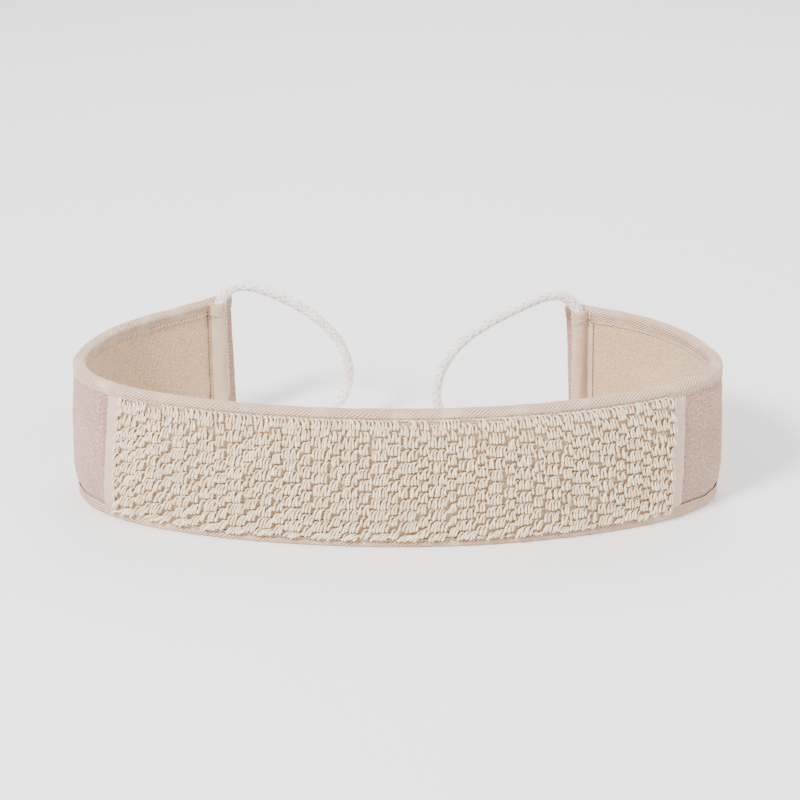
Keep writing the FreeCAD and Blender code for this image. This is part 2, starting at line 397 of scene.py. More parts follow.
def terry_material(name, base, shade, light):
    """Short velour pile: fine speckle with painted shade in its hollows, painted highlights on its tips, and
    faint patches.
    """
    n = Nodes(name)
    uv = n.cloth()[0]
    pile = n.noise(uv, 0.0013, 3.0, 0.65)
    tips = n.noise(uv, 0.0022, 2.0, 0.6)
    patch = n.noise(uv, 0.03, 2.0, 0.5)
    colour = n.mix(n.ramp(patch, 0.35, 0.65, 0.3, 0.0), base, shade)
    # Painted highlight: the pile's tips, raised by this noise's bump, are coloured lighter.
    colour = n.mix(n.ramp(tips, 0.5, 0.68, 0.0, 0.8), colour, light)
    # Painted shade: the hollows of the pile, low on this noise's bump, are coloured darker.
    colour = n.mix(n.ramp(pile, 0.4, 0.56, 1.0, 0.0), colour, shade)
    normal = n.bump(pile, 0.0014)
    normal = n.bump(tips, 0.0007, normal)
    return n.finish(colour, n.ramp(pile, 0.3, 0.7, 1.0, 0.85), normal, 0.35, (1.0, 0.95, 0.9))


def twill_material(name, base, groove, light):
    """Cotton twill: slanted ribs crossed by fine yarns, with painted shade in the grooves between ribs and
    yarns, a painted highlight on its fuzz, and worn light spots.
    """
    n = Nodes(name)
    uv, u, v = n.cloth()
    slant = n.math("SUBTRACT", n.math("MULTIPLY", v, cos(RIB_LEAN)),
                   n.math("MULTIPLY", u, sin(RIB_LEAN)))
    height = n.ramp(n.wave(slant, RIB_PITCH * MM), -1.0, 0.5)
    yarn = 0.00062
    weave = n.woven(n.wave(v, yarn), n.wave(u, yarn))
    fuzz = n.noise(uv, 0.0006, 2.0)
    patch = n.noise(uv, 0.02, 2.0)
    # Painted shade: the groove colour is laid where the ribs' bump is low.
    colour = n.mix(height, groove, base)
    colour = n.mix(n.ramp(patch, 0.45, 0.75, 0.0, 0.4), colour, light)
    # Painted shade between the yarns, where the weave's bump is low.
    colour = n.mix(n.ramp(weave, 0.0, 0.5, 0.12, 0.0), colour, groove)
    # Painted highlight: lighter where the fuzz bump stands highest.
    colour = n.mix(n.ramp(fuzz, 0.5, 0.75, 0.0, 0.3), colour, light)
    normal = n.bump(height, 0.0002)
    normal = n.bump(weave, 0.00012, normal)
    normal = n.bump(fuzz, 0.0002, normal)
    return n.finish(colour, n.ramp(height, 0.0, 1.0, 0.95, 0.8), normal, 0.15)


def plain_material(name, base, groove, pitch, depth):
    """Plain weave: yarns over and under one another, with painted shade between the yarns and in the fuzz's
    hollows, and faint darker patches.
    """
    n = Nodes(name)
    uv, u, v = n.cloth()
    bend = n.math("MULTIPLY", n.noise(uv, 0.005, 2.0), pitch * 1.2)
    weave = n.woven(*(n.wave(n.math("ADD", k, bend), pitch) for k in (u, v)))
    fuzz = n.noise(uv, pitch * 0.8, 3.0, 0.6)
    patch = n.noise(uv, 0.012, 2.0)
    # Painted shade: the groove colour is laid between the yarns, where the weave's bump is low.
    colour = n.mix(n.ramp(weave, 0.1, 0.6), groove, base)
    colour = n.mix(n.ramp(patch, 0.4, 0.8, 0.0, 0.35), colour, groove)
    # Painted shade in the fuzz's hollows, where its bump is low.
    colour = n.mix(n.ramp(fuzz, 0.35, 0.6, 0.3, 0.0), colour, groove)
    normal = n.bump(weave, depth)
    normal = n.bump(fuzz, depth * 0.6, normal)
    return n.finish(colour, 0.9, normal, 0.1)


def fibre_material(name, dark, base, light, twist, depth, sheen, soft=0.0):
    """Spun fibre: slightly twisted strands with painted shade between their fibres, in a colour that changes
    from thread to thread.
    """
    n = Nodes(name)
    uv, u, v = n.cloth()
    turned = n.math("ADD", v, n.math("MULTIPLY", u, twist))
    line = n.node("CombineXYZ", n.math("MULTIPLY", u, 0.12), turned)
    strand = n.noise(line.outputs[0], 0.0003, 2.0, 0.6)
    thread = n.noise(uv, 0.01, 1.0, 0.5, (1.0, 0.01, 1.0))
    patch = n.noise(n.place(), 0.012, 2.0)
    # Painted shade: the dark colour is laid between the fibres, where the strands' bump is low.
    colour = n.mix(n.ramp(strand, 0.3, 0.65), dark, base)
    colour = n.mix(n.ramp(thread, 0.35, 0.7), colour, light)
    colour = n.mix(n.ramp(patch, 0.3, 0.5, 0.35, 0.0), colour, dark)
    normal = n.bump(strand, depth)
    return n.finish(colour, n.ramp(strand, 0.3, 0.7, 0.85, 0.65), normal, sheen, soft=soft)


# In these materials the darker colour is the painted shade laid in the hollows of the weave, pile or fibres,
# and also in random darker patches; the terry's and the twill's lightest colours are painted highlights on
# tips and fuzz, the twill's also its worn light spots.
TERRY_OUTER = terry_material("terry_outer", rgb(192, 154, 130), rgb(154, 116, 94), rgb(222, 190, 168))
TERRY_INNER = terry_material("terry_inner", rgb(226, 190, 152), rgb(196, 158, 122), rgb(240, 212, 176))
TWILL = twill_material("twill_tape", rgb(218, 189, 163), rgb(146, 110, 80), rgb(240, 220, 198))
TUNNEL_TAPE = twill_material("tunnel_tape", rgb(228, 202, 174), rgb(176, 144, 114), rgb(242, 224, 202))
PLAIN_TAPE = plain_material("plain_tape", rgb(214, 190, 168), rgb(180, 150, 126), 0.0007, 0.0001)
BACKING = plain_material("woven_backing", rgb(208, 181, 148), rgb(172, 142, 110), 0.0016, 0.0004)
WADDING = plain_material("wadding", rgb(238, 235, 229), rgb(222, 218, 210), 0.003, 0.0005)
LOOP_FIBRE = fibre_material("loop_fibre", rgb(204, 172, 130), rgb(228, 204, 170), rgb(242, 227, 202),
                            twist=0.25, depth=0.00018, sheen=0.25, soft=0.2)
COTTON_ROPE = fibre_material("cotton_rope", rgb(222, 206, 198), rgb(250, 243, 240), rgb(255, 252, 250),
                             twist=0.5, depth=0.0001, sheen=0.3)
THREAD = fibre_material("sewing_thread", rgb(190, 164, 140), rgb(224, 204, 184), rgb(238, 222, 206),
                        twist=0.8, depth=0.00006, sheen=0.1)


# -------- ropes

def route_line(side):
    """Points of the rope's smooth line, from its tunnel's upper mouth to the lower."""
    axis = flat_wall(TUNNEL_AT[side], TUNNEL_DEPTH, 0.0)
    angle = radians(LOOP_ANGLE[side])
    reach = np.array([cos(angle), sin(angle), 0.0])
    aside = np.array([-sin(angle), cos(angle), 0.0])
    curve = bpy.data.curves.new("route_" + side, "CURVE")
    curve.dimensions = "3D"
    curve.resolution_u = 12
    spline = curve.splines.new("NURBS")
    spline.points.add(len(ROUTE[side]) - 1)
    for point, (u, w, z) in zip(spline.points, ROUTE[side]):
        place = (axis + reach * u + aside * w + np.array([0.0, 0.0, z])) * MM
        point.co = (*place, 1.0)
    spline.order_u = 3
    spline.use_endpoint_u = True
    holder = add_object("route_" + side, curve)
    bpy.context.view_layer.update()
    mesh = bpy.data.meshes.new_from_object(holder)
    line = np.array([v.co for v in mesh.vertices]) / MM
    bpy.data.meshes.remove(mesh)
    bpy.data.objects.remove(holder)
    return line


def evenly(line, gap):
    """The same line with points a set gap apart."""
    run = np.concatenate([[0], np.cumsum(np.linalg.norm(np.diff(line, axis=0), axis=1))])
    at = np.linspace(0, run[-1], int(run[-1] / gap) + 1)
    return np.stack([np.interp(at, run, line[:, k]) for k in range(3)], -1), at


def carried_frames(line):
    """A pair of directions square to the line at each point, turned as little as possible."""
    ahead = np.gradient(line, axis=0)
    ahead /= np.linalg.norm(ahead, axis=1, keepdims=True)
    first = np.cross(ahead[0], [1.0, 0.0, 0.0])
    across = [first / np.linalg.norm(first)]
    for direction in ahead[1:]:
        moved = across[-1] - direction * np.dot(across[-1], direction)
        across.append(moved / np.linalg.norm(moved))
    across = np.array(across)
    return across, np.cross(ahead, across)


def join(name, *pieces):
    """Joins pieces into one of the given name."""
    bpy.ops.object.select_all(action="DESELECT")
    for piece in pieces:
        piece.select_set(True)
    whole = pieces[0]
    bpy.context.view_layer.objects.active = whole
    bpy.ops.object.join()
    whole.name = whole.data.name = name
    return whole


def hand_in(piece, body, node):
    """Says which body a piece rides on and which node it stands for."""
    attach(piece, body)
    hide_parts(node)


def rope(side):
    """Round braid: strands that wind both ways and pass over and under each other."""
    carriers, lay, thick = 4, 25.0, 0.74
    loop = route_line(side)
    hidden = tunnel_line(side, np.linspace(ROPE_BOTTOM, ROPE_TOP, 40)[:-1])
    line, at = evenly(np.concatenate([hidden, loop]), 0.5)
    at = at - (ROPE_TOP - ROPE_BOTTOM)
    across, over = carried_frames(line)
    near = np.minimum(np.abs(at), at[-1] - at)
    radius = ROPE / 2 * (1.2 - 0.16 * ease(near, 10, 100)) * (1 + 0.025 * waves(5, 12, at))
    radius = radius * (1 - 0.18 * ease(np.minimum(-at, at + ROPE_TOP - ROPE_BOTTOM), 1, 10))
    wind = 2 * pi * at / lay
    paths, widths = [], []
    for hand in (-1, 1):
        for carrier in range(carriers):
            for yarn in (-0.5, 0.5):
                turn = hand * wind + 2 * pi * (carrier + 0.36 * yarn) / carriers
                lift = 0.3 * hand * np.cos(carriers * wind) + 0.06 * waves(carrier * 4 + hand + 9, 9, at)
                reach = radius - thick * 0.75 + lift - 0.1
                paths.append(line + across * (reach * np.cos(turn))[:, None]
                             + over * (reach * np.sin(turn))[:, None])
                widths.append(radius / (ROPE / 2) * thick * (1 + 0.05 * waves(carrier + 31, 5, at)))
    paths, widths = np.array(paths), np.array(widths)
    outwards = paths - line
    outwards /= np.linalg.norm(outwards, axis=-1, keepdims=True)
    inside = (radius - thick * 1.3)[None]
    made = []
    parts = (("rope_", "rope_loop_", at >= -0.3), ("rope_in_tunnel_", "rope_hidden_", at <= 0.3))
    for name, node, part in parts:
        braid = tubes(name + side, paths[:, part], widths[:, part], 6, COTTON_ROPE, 0.8, outwards[:, part])
        core = tubes("core", line[None, part], inside[:, part], 10, COTTON_ROPE, 1.0, across[None, part])
        made.append(join(name + side, braid, core))
        hand_in(made[-1], side + "_loop", node + side)


for side in SIDES:
    rope(side)


# -------- the padded body

PAD_EDGE, PAD_HALF = 4.0, 2.1
# Points of the pad's section down each side and round each edge.
DOWN, ROUND = 30, 5
SWELL_CAP, SWELL_FRAMES = 1.7, 18


def pad_section():
    """The wadded pad's section as (depth, height): down the outer side, up the inner side."""
    half, low, high = PAD_HALF, PAD_EDGE, HEIGHT - PAD_EDGE
    middle = THICK / 2
    z = np.linspace(high - half, low + half, DOWN)
    bend = np.linspace(0, pi, ROUND + 2)[1:-1]
    outer = np.stack([np.full(z.size, middle - half), z], -1)
    under = np.stack([middle - half * np.cos(bend), low + half - half * np.sin(bend)], -1)
    inner = np.stack([np.full(z.size, middle + half), z[::-1]], -1)
    over = np.stack([middle + half * np.cos(bend), high - half + half * np.sin(bend)], -1)
    return np.concatenate([outer, under, inner, over]), z


SECTION, SECTION_Z = pad_section()
PAD_S = np.arange(END["left"] + 3, END["right"] - 2.9, 4.0)


def simulated_swell():
    """How far the wadded pad stands out on each side (rows along the strap, columns down it)."""
    rows, columns = len(PAD_S), len(SECTION)
    s = PAD_S[:, None]
    d = SECTION[None, :, 0] + 0.12 * waves(11, 26, s, SECTION[None, :, 1])
    points = wall(s, d, SECTION[None, :, 1])
    ends = end_rows(rows, columns)
    faces = grid_faces(rows, columns, True).tolist() + ends
    body = make_piece("pad_body", points.reshape(-1, 3), faces, WADDING)
    bound = np.tile(np.abs(SECTION[:, 1] - HEIGHT / 2) > HEIGHT / 2 - LEG - 0.5, rows)
    group = body.vertex_groups.new(name="held")
    group.add(np.nonzero(bound)[0].tolist() + ends[0] + ends[1], 1.0, "REPLACE")
    start = np.array([v.co for v in body.data.vertices]) / MM
    cloth = body.modifiers.new("cloth", "CLOTH").settings
    cloth.vertex_group_mass = "held"
    cloth.use_pressure = True
    cloth.uniform_pressure_force = 4.0
    cloth.effector_weights.gravity = 0.0
    cloth.tension_stiffness = 8.0
    cloth.compression_stiffness = 8.0
    cloth.bending_stiffness = 0.6
    cloth.shrink_min = -0.012
    for number in range(1, SWELL_FRAMES + 1):
        bpy.context.scene.frame_set(number)
    settled = body.evaluated_get(bpy.context.evaluated_depsgraph_get())
    moved = np.array([v.co for v in settled.data.vertices]) / MM - start
    bpy.data.objects.remove(body)
    bpy.context.scene.frame_set(1)
    inward = plan(np.repeat(PAD_S, columns), 0.0)[2]
    out = -(moved[:, :2] * inward).sum(1).reshape(rows, columns)
    return out[:, :DOWN], -out[:, DOWN + ROUND:2 * DOWN + ROUND][:, ::-1]


def capped(swell):
    """Outward swell only, flattened off towards the cap."""
    swell = np.clip(swell, 0, None)
    return swell * SWELL_CAP / (swell + SWELL_CAP * 0.8)


SWELL_OUT, SWELL_IN = (capped(swell) for swell in (simulated_swell()))


def swell_at(swell, s, z):
    """The swell at any s and z, between the simulated points."""
    a = np.clip((s - PAD_S[0]) / (PAD_S[1] - PAD_S[0]), 0, len(PAD_S) - 1.001)
    b = np.clip((SECTION_Z[0] - z) / (SECTION_Z[0] - SECTION_Z[1]), 0, len(SECTION_Z) - 1.001)
    i, j = a.astype(int), b.astype(int)
    p, q = a - i, b - j
    return (swell[i, j] * (1 - p) * (1 - q) + swell[i + 1, j] * p * (1 - q)
            + swell[i, j + 1] * (1 - p) * q + swell[i + 1, j + 1] * p * q)


# -------- cloth of the strap

def leg_at(s, top, inner):
    """How far a binding's leg reaches from the strap's edge."""
    far = np.clip(s / 180, -1.3, 1.3)
    outer = np.where(top, 6.1 + 0.5 * far + 0.5 * far ** 2, 6.0 + 2.4 * ease(np.abs(s), 110, 190))
    return np.where(inner, INNER_LEG, outer)


def halves(build, node, slot_name, *more):
    """Builds a layer's two halves, bakes each one's placing into its mesh, and hides the nodes it stands for.
    """
    made = []
    for side in SIDES:
        piece = build(side, *more)
        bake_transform(piece)
        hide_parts(node + "_centre", node + "_" + side)
        made.append((side, piece))
    return made


def stations(side, gap):
    """Arc lengths from the free end to the middle, or from the middle to the free end."""
    steps = int(abs(END[side]) / gap) + 1
    return np.linspace(END["left"], 0, steps) if side == "left" else np.linspace(0, END["right"], steps)


def face_depth(s, z, inner):
    """Depth of the terry surface: tucked under the bindings, swollen between them."""
    edge = np.minimum(z, HEIGHT - z)
    leg = leg_at(s, z > HEIGHT / 2, inner)
    free = ease(edge, leg - 1.4, leg + 3.5)
    near_seam = ease(edge, leg - 1, leg + 2) * (1 - ease(edge, leg + 4, leg + 16))
    pucker = waves(21 + inner, 7, s, z * 0.35) * 0.22 * near_seam
    lumps = 0.22 * waves(23 + inner, 17, s, z) + 0.12 * waves(29 + inner, 8, s, z)
    swell = swell_at(SWELL_IN if inner else SWELL_OUT, s, z)
    grain = np.random.default_rng(33 + inner).normal(0, 1, (s + 0 * z).shape).clip(-2, 2)
    nap = 0.1 * waves(25 + inner, 2.6, s, z) + 0.07 * grain
    out = 0.35 + swell + lumps * 0.8 + pucker + nap
    if not inner:
        under_pad = ease(s, PAD_LEFT - 3, PAD_LEFT + 2) * (1 - ease(s, PAD_RIGHT - 2, PAD_RIGHT + 3))
        out = out * (1 - under_pad) - 0.5 * under_pad
    depth = TAPE + 0.25 - free * (out + 0.25)
    return THICK - depth if inner else depth


FACE_GAP = 0.85
FACE_Z = np.concatenate([[3.6], np.linspace(4.8, HEIGHT - 4.8, 100), [HEIGHT - 3.6]])[None]


def outer_face(side):
    """The outer terry, turned round the free end on to the inner side."""
    z, end, sign = FACE_Z, END[side], SIGN[side]
    roll = (THICK - 2 * TAPE) / 2 - 0.1
    s = stations(side, FACE_GAP)[:, None]
    s = s[np.abs(end - s[:, 0]) >= roll]
    flat = wall(s, face_depth(s, z, False), z)
    centre_s = end - sign * roll
    outer_d, inner_d = (face_depth(np.full((1, 1), centre_s), z, inner) for inner in (False, True))
    middle, half = (outer_d + inner_d) / 2, (inner_d - outer_d) / 2
    turn = np.linspace(0, pi, 9)[:, None]
    curl = wall(centre_s + sign * roll * np.sin(turn) * np.ones_like(z), middle - half * np.cos(turn), z)
    hem = np.linspace(0.6, 4.6, 4)
    back_s = centre_s - sign * hem[:, None]
    back = wall(back_s, face_depth(back_s, z, True) + 0.15, z)
    run = np.abs(end - sign * roll) + np.arange(1, 9) * pi * 2.6 / 8
    points = [flat, curl[1:], back]
    u = [s[:, 0], sign * run, sign * (run[-1] + hem)]
    if side == "left":
        points = [points[2][::-1], points[1][::-1], points[0]]
        u = [u[2][::-1], u[1][::-1], u[0]]
    return grid_piece("terry_outer_" + side, np.concatenate(points), np.concatenate(u)[:, None], z,
                      TERRY_OUTER, flip=True)


def inner_face(side):
    """The inner terry, which stops short of the outer's turned end."""
    s = stations(side, FACE_GAP)[:, None]
    s = s[np.abs(END[side] - s[:, 0]) >= 4]
    points = wall(s, face_depth(s, FACE_Z, True), FACE_Z)
    return grid_piece("terry_inner_" + side, points, s, FACE_Z, TERRY_INNER)


def wadding(side):
    """The wadding, a little inside the faces."""
    s = stations(side, 6.0)[:, None]
    s = s[np.abs(END[side] - s[:, 0]) >= 5]
    d, z = SECTION[None, :, 0], SECTION[None, :, 1]
    swell = np.where(d < THICK / 2, -swell_at(SWELL_OUT, s, z), swell_at(SWELL_IN, s, z))
    swell = swell * ease(np.minimum(z, HEIGHT - z), LEG, LEG + 6) * 0.5
    points = wall(s, THICK / 2 + (d - THICK / 2) * 0.7 + swell, z)
    run = np.arange(len(SECTION) + 1) * 2.7
    return grid_piece("wadding_" + side, points, s, run[None], WADDING, closed=True)


for build, kind, high, more in ((outer_face, "outer", 0.085, 0.009), (inner_face, "inner", 0.081, -0.004)):
    for side, piece in halves(build, kind + "_face", "terry_" + kind):
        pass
for side, piece in halves(wadding, "core", "wadding"):
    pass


# -------- bindings

# Points of a binding's section down its outer leg, over its crown and down its inner leg.
OUTER_LEG_POINTS, CROWN_POINTS, INNER_LEG_POINTS = 14, 24, 16


def binding_section():
    """A folded tape's section: depths, heights, share of the leg (-1 on the crown) and outward directions."""
    crown = THICK / 2
    bend = np.linspace(0, pi, CROWN_POINTS + 2)[1:-1]
    square_d, square_z = (np.sign(k) * np.abs(k) ** 0.8 for k in (np.cos(bend), np.sin(bend)))
    parts = (
        (np.zeros(OUTER_LEG_POINTS), 0, np.linspace(1, 0, OUTER_LEG_POINTS), -1, 0),
        (crown - crown * square_d, HEIGHT - crown + crown * square_z, -1, -np.cos(bend), np.sin(bend)),
        (np.full(INNER_LEG_POINTS, THICK), 0, np.linspace(0, 1, INNER_LEG_POINTS), 1, 0))
    return np.concatenate([spread(*part) for part in parts], 1)


def leg_line(s, top, inner):
    """The slightly wandering edge of a binding's leg, which its stitches follow."""
    seed = 40 if top else 50
    return leg_at(s, top, inner) + 0.25 * waves(seed + 2, 22, s) + 0.12 * waves(seed + 3, 6, s)


def binding(side, top):
    """A tape folded over one edge, with ribs, a stitched groove and a tucked free end."""
    d, z, share, *normal = binding_section()
    s = stations(side, 0.62)[:, None]
    seed = 40 if top else 50
    crown = THICK / 2
    leg = leg_line(s, top, (d > crown)[None])
    z = np.where((share >= 0)[None], HEIGHT - crown - (leg - crown) * share, z[None] + 0 * s)
    height = HEIGHT - z
    run = np.concatenate([0 * s, np.cumsum(np.hypot(np.diff(d)[None], np.diff(z, axis=1)), 1)], 1)
    middle = OUTER_LEG_POINTS + CROWN_POINTS // 2 - 1
    run = run - run[:, middle:middle + 1]
    groove = -0.95 * np.exp(-((height - leg + STITCH_IN) / 0.5) ** 2)
    body = 0.8 * np.exp(-((height - 2.2) / 2.0) ** 2)
    hem = 0.3 * np.exp(-((height - leg + 0.5) / 0.6) ** 2)
    puckers = (0.14 * waves(seed, 4.2, s + 0 * z, run * 0.4) * ease(height, 2, 4)
               + 0.12 * waves(seed + 1, 15, s + 0 * z, run))
    u = s + 0.5 * waves(seed + 4, 40, s)
    v = (run if top else -run) + 0.25 * waves(seed + 5, 30, s)
    out = groove + body + hem + puckers + RIB_HIGH * rib(u, v)
    near_free = 1 - ease(np.abs(END[side] - s), 0, 7)
    dd = crown + (d + normal[0] * out - crown) * (1 - 0.25 * near_free)
    zz = z + normal[1] * out - 0.9 * near_free * (1 - ease(height, 4, LEG))
    back = slice(None, None, -3)
    all_d = np.concatenate([dd, (dd - normal[0] * TAPE)[:, back]], 1)
    all_z = np.concatenate([zz, (zz - normal[1] * TAPE)[:, back]], 1)
    if not top:
        all_z = np.maximum(HEIGHT - all_z, 0.0)
    all_v = np.concatenate([v, v[:, back], v[:, :1]], 1)
    name = ("top" if top else "bottom") + "_binding_tape_" + side
    tape = grid_piece(name, wall(s, all_d, all_z), u, all_v, TWILL, closed=True, flip=not top)
    tucked = END[side] - SIGN[side] * np.linspace(0.9, 8, 9)
    path = wall(tucked, crown, HEIGHT - 4.1 if top else 4.1)
    return join(name, tape, tubes("tucked_end", [path], 2.3, 12, TWILL, 1.3))


def stitches(name, s, d, z, along, length, radius, sink):
    """Short threads whose ends dip into the cloth. s, d, z are their middles, along their directions."""
    t = np.linspace(-1, 1, 7)
    arch = np.sqrt(np.clip(1 - t ** 4, 0, 1))
    ss = s[:, None] + along[0] * length / 2 * t
    zz = z[:, None] + along[1] * length / 2 * t
    dd = d[:, None] + sink * (1 - arch)
    return tubes(name, wall(ss, dd, zz), radius * (0.55 + 0.45 * arch), 6, THREAD)


def binding_seam(side, top):
    """The stitches of one binding, on both sides; those inside stop at the rope's tunnel."""
    s = stations(side, 3.1)
    s = s[np.abs(END[side] - s) > 4] + 0.4
    made = []
    for inner in (False, True):
        use = s[np.abs(s - TUNNEL_AT[side]) > TUNNEL_WIDE / 2 + 1] if inner else s
        height = leg_line(use, top, inner) - STITCH_IN
        depth = np.full(use.shape, THICK - 0.32 if inner else 0.32)
        z, sink = HEIGHT - height if top else height, -0.35 if inner else 0.35
        made.append(stitches("seam_part", use, depth, z, (1, 0.04), 2.5, 0.26, sink))
    return join(("top" if top else "bottom") + "_stitches_" + side, *made)


halves(binding, "top_binding", "twill_tape", True)
halves(binding, "bottom_binding", "twill_tape", False)
halves(binding_seam, "top_seam", "sewing_thread", True)
halves(binding_seam, "bottom_seam", "sewing_thread", False)


# -------- loop pad

def pad_lean(s, z):
    """How far the pad's ends lean along the strap at each height."""
    up = (z - HEIGHT / 2) / (HEIGHT / 2)
    return up * (4.7 * (1 - ease(s, PAD_LEFT, PAD_LEFT + 60)) - 0.3 * ease(s, PAD_RIGHT - 60, PAD_RIGHT))


def pad_backing():
    """The pad's woven ground, drawn in a little under each row of loops."""
    s = np.arange(PAD_LEFT, PAD_RIGHT + 0.1, 1.2)[:, None]
    z = np.linspace(4.6, HEIGHT - 4.6, 110)[None]
    rows = 0.3 * np.sin(2 * pi * (z - ROW_FIRST) / ROW_PITCH * 2) + 0.25 * waves(71, 4, s, z)
    edge = np.minimum(z, HEIGHT - z)
    d = 0.5 - 0.95 * ease(edge, 5.5, 8.5) - rows * ease(edge, 6, 8)
    piece = grid_piece("pad_backing_cloth", wall(s + pad_lean(s, z), d, z), s, z, BACKING, flip=True)
    hand_in(piece, "strap_centre", "pad_backing")


ROW_FIRST, ROW_PITCH, CLUSTER_FIRST, CLUSTER_PITCH = 6.4, 8.0, 5.2, 17.6
# The two sorts of cluster: shift in pitches, height of a loop, and how many loops.
CLUSTERS = ((0, 6.3, (5, 6, 6)), (0.5, 5.7, (3, 3, 4)))


def loop_places():
    """Each loop's place along and up, height, strayness, reach and sideways shift, in staggered clusters."""
    rng = np.random.default_rng(7)
    places = []
    for row, column, (shift, high, counts) in itertools.product(range(-1, 11), range(-12, 12), CLUSTERS):
        x = CLUSTER_FIRST + (column + shift) * CLUSTER_PITCH + rng.normal(0, 0.4)
        z = ROW_FIRST + (row + shift) * ROW_PITCH + 0.0001 * (x + 60) ** 2 + rng.normal(0, 0.25)
        count = rng.choice(counts)
        pitch, drift, stand = rng.uniform(1.85, 2.05), rng.normal(0, 0.04), rng.uniform(0.88, 1.1)
        for k in range(count):
            place = (k - (count - 1) / 2) * pitch
            share = 2 * place / (count * pitch)
            tall = high + 0.6 * float(ease(-x, -60, 60))
            tall = tall * (1 - 0.3 * share * share) * rng.uniform(0.92, 1.07)
            pair = (0.36 if k % 2 else -0.36) + rng.normal(0, 0.15)
            places.append((
                x + place + rng.normal(0, 0.15), z + place * drift + rng.normal(0, 0.22), tall,
                rng.normal(0, 1.0), stand * (1 - 0.12 * share * share) * rng.uniform(0.9, 1.08), pair))
    places = np.array(places)
    x, z = places[:, 0], places[:, 1]
    left, right = PAD_LEFT + PAD_TAPE - 1.2, PAD_RIGHT - PAD_TAPE + 1.2
    return places[(x > left) & (x < right) & (z > 4) & (z < HEIGHT - 3)]


# One loop from its upper end on: along, height as a share of half its height, outwards, radius.
LOOP_SHAPE = (
    (2.1, 0.1, -0.6, 0.45), (2.2, 0.6, 0.4, 0.48), (1.9, 0.93, 1.3, 0.5), (1.2, 1.0, 2.0, 0.54),
    (0.4, 0.92, 2.5, 0.56), (-0.1, 0.6, 2.9, 0.6), (-0.15, 0.1, 3.2, 0.76), (0.0, -0.45, 3.5, 0.88),
    (0.2, -0.85, 3.3, 0.82), (0.3, -1.0, 2.6, 0.68), (0.3, -0.85, 1.7, 0.55), (0.2, -0.5, 0.7, 0.45),
    (0.1, -0.2, -0.3, 0.4))
LOOP_STEPS = 23
# How far a loop slants along the strap over half its height, by height and by place along the strap.
SLANT_UP = ((8, 14, 25, 55, 66, 80), (2.6, 1.4, 0.4, 0.0, -0.4, -1.2))
SLANT_ALONG = ((-180, -60, 0, 60, 110), (1.9, 1.5, 1.0, 0.5, -0.5))


def smooth_path(points, steps):
    """A smooth line through control points, as evenly spaced samples of its parameter."""
    points = np.asarray(points, float)
    points = np.concatenate([2 * points[:1] - points[1:2], points, 2 * points[-1:] - points[-2:-1]])
    at = np.linspace(0, len(points) - 3.001, steps)
    k, f = at.astype(int), (at - at.astype(int))[:, None]
    a, b, c, d = points[k], points[k + 1], points[k + 2], points[k + 3]
    return b + 0.5 * f * (c - a + f * (2 * a - 5 * b + 4 * c - d + f * (3 * (b - c) + d - a)))


def loop_pile():
    """Drooping loops: each leaves the backing, arches over, falls outwards and turns in under its own end."""
    x, z, tall, stray, stand, pair = (column[:, None] for column in loop_places().T)
    z = np.minimum(z, HEIGHT - 7.6 + 0.3 * stray.clip(-1, 1))
    low_end = np.maximum(z - tall / 2, 6.3 + 0.8 * stray.clip(-1, 1))
    top_end = np.minimum(z + tall / 2, HEIGHT - 5.2)
    half, centre = (top_end - low_end) / 2, (top_end + low_end) / 2
    aside, up, out, thick = smooth_path(LOOP_SHAPE, LOOP_STEPS).T[:, None]
    slant = np.interp(z, *SLANT_UP) + np.interp(x, *SLANT_ALONG) + 0.4 * stray
    upper = ease(z, 64, 78)
    wild = np.abs(stray) > 2.1
    s = x + aside * (1 - 1.7 * upper) + slant * up / 2 + pair * ease(up, -0.2, 0.9) + 0.3 * wild * out
    zz = centre + half * up - 0.15 * wild * out
    d = 0.35 - out * stand * (1 + 0.12 * wild) * (1 - 0.25 * upper)
    radius = thick * np.random.default_rng(9).uniform(0.88, 1.1, x.shape)
    onward = np.concatenate([plan(s, 0.0)[1], np.zeros(s.shape + (1,))], -1)
    path = wall(s + pad_lean(s, zz), d, zz)
    for side, chosen in (("left", x[:, 0] < 0), ("right", x[:, 0] >= 0)):
        piece = tubes("loop_pile_" + side, path[chosen], radius[chosen], 8, LOOP_FIBRE, 0.95, onward[chosen],
                      lobe=0.12, twist=1.0)
        hand_in(piece, "strap_centre", "loop_pile")


pad_backing()
loop_pile()

# A pad tape's columns of cells, and the ones its two rows of stitches are on, from the pad's end inwards.
TAPE_STEPS, TAPE_ROWS = 12, (1, 10)


